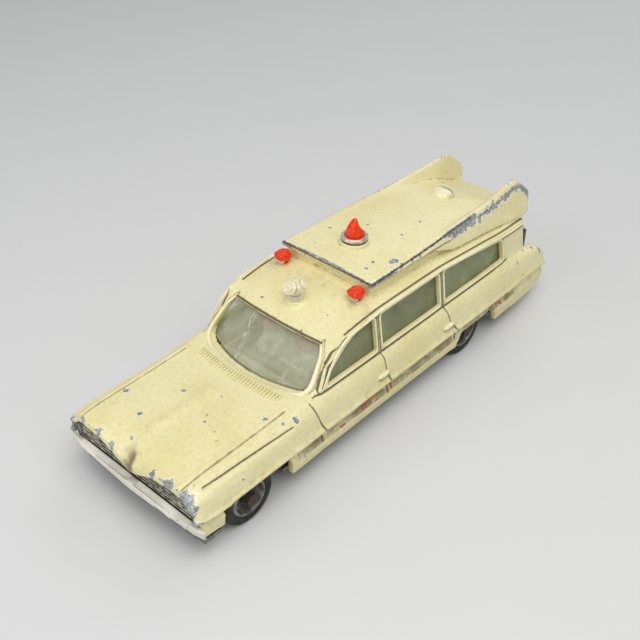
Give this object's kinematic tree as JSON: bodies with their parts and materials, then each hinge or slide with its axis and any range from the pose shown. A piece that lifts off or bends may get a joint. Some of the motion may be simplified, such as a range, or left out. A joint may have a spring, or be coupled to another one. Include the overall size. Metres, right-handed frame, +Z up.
{
  "type": "toy ambulance",
  "caption": "Toy ambulance with a finned roof, beacon, rolling wheels, a steering front axle, a hinged rear door, a seated crew and a patient on a stretcher.",
  "frame": {"origin": "on the ground under the middle of the car's bounding box", "axes": "+X forward towards the bonnet, +Y to the car's left, +Z up"},
  "size_m": [0.127, 0.042, 0.0413],
  "materials": {
    "cream_paint": "worn gloss enamel, chipped to bare zinc at the edges",
    "green_clear": "clear plastic with a green tint",
    "plate_steel": "dull plated sheet",
    "rivet_metal": "dull bare metal",
    "silver_paint": "dull silver, rubbed",
    "axle_steel": "rusted at the ends",
    "spun_hub": "spun",
    "tyre_rubber": "matt",
    "red_clear": "clear red",
    "siren_clear": "clear, slightly yellowed",
    "tub_plastic": "satin",
    "figure_plastic": "matt",
    "frame_plastic": "matt",
    "blanket_plastic": "matt"
  },
  "bodies": {
    "body": {"body_shell": "cream_paint", "window_moulding": "green_clear", "base_plate": "plate_steel", "base_rivets": "rivet_metal", "grille": "silver_paint", "front_bumper": "silver_paint", "rear_bumper": "silver_paint", "rear_axle": "axle_steel", "rear_bracket": "plate_steel", "hinge_bracket": "plate_steel", "hinge_pin": "axle_steel", "beacon_ring": "rivet_metal", "beacon_lens": "red_clear", "lamp_left": "red_clear", "lamp_right": "red_clear", "siren": "siren_clear", "interior_tub": "tub_plastic", "front_bench": "tub_plastic", "dashboard": "tub_plastic", "steering_column": "tub_plastic", "steering_wheel": "tub_plastic", "driver_figure": "figure_plastic", "attendant_figure": "figure_plastic", "stretcher_frame": "frame_plastic", "stretcher_mattress": "figure_plastic", "patient_figure": "figure_plastic", "blanket": "blanket_plastic"},
    "steering": {"front_axle": "axle_steel", "steering_carrier": "plate_steel", "steering_pivot": "rivet_metal"},
    "wheel_front_left": {"hub_front_left": "spun_hub", "tyre_front_left": "tyre_rubber"},
    "wheel_front_right": {"hub_front_right": "spun_hub", "tyre_front_right": "tyre_rubber"},
    "wheel_rear_left": {"hub_rear_left": "spun_hub", "tyre_rear_left": "tyre_rubber"},
    "wheel_rear_right": {"hub_rear_right": "spun_hub", "tyre_rear_right": "tyre_rubber"},
    "door": {"rear_door": "cream_paint", "rear_door_glass": "green_clear"}
  },
  "joints": [
    {"name": "front_steer", "type": "hinge", "parent": "body", "child": "steering", "pos_m": [0.0481, 0, 0.005], "axis": [0, 0, 1], "range_deg": [-4, 4]},
    {"name": "spin_front_left", "type": "hinge", "parent": "steering", "child": "wheel_front_left", "pos_m": [0.0481, 0.0169, 0.0066], "axis": [0, 1, 0], "continuous": true},
    {"name": "spin_front_right", "type": "hinge", "parent": "steering", "child": "wheel_front_right", "pos_m": [0.0481, -0.0169, 0.0066], "axis": [0, 1, 0], "continuous": true},
    {"name": "spin_rear_left", "type": "hinge", "parent": "body", "child": "wheel_rear_left", "pos_m": [-0.0274, 0.0162, 0.0066], "axis": [0, 1, 0], "continuous": true},
    {"name": "spin_rear_right", "type": "hinge", "parent": "body", "child": "wheel_rear_right", "pos_m": [-0.0274, -0.0162, 0.0066], "axis": [0, 1, 0], "continuous": true},
    {"name": "rear_door_hinge", "type": "hinge", "parent": "body", "child": "door", "pos_m": [-0.05755, 0.0129, 0.0169], "axis": [0, 0, -1], "range_deg": [0, 100]}
  ]
}
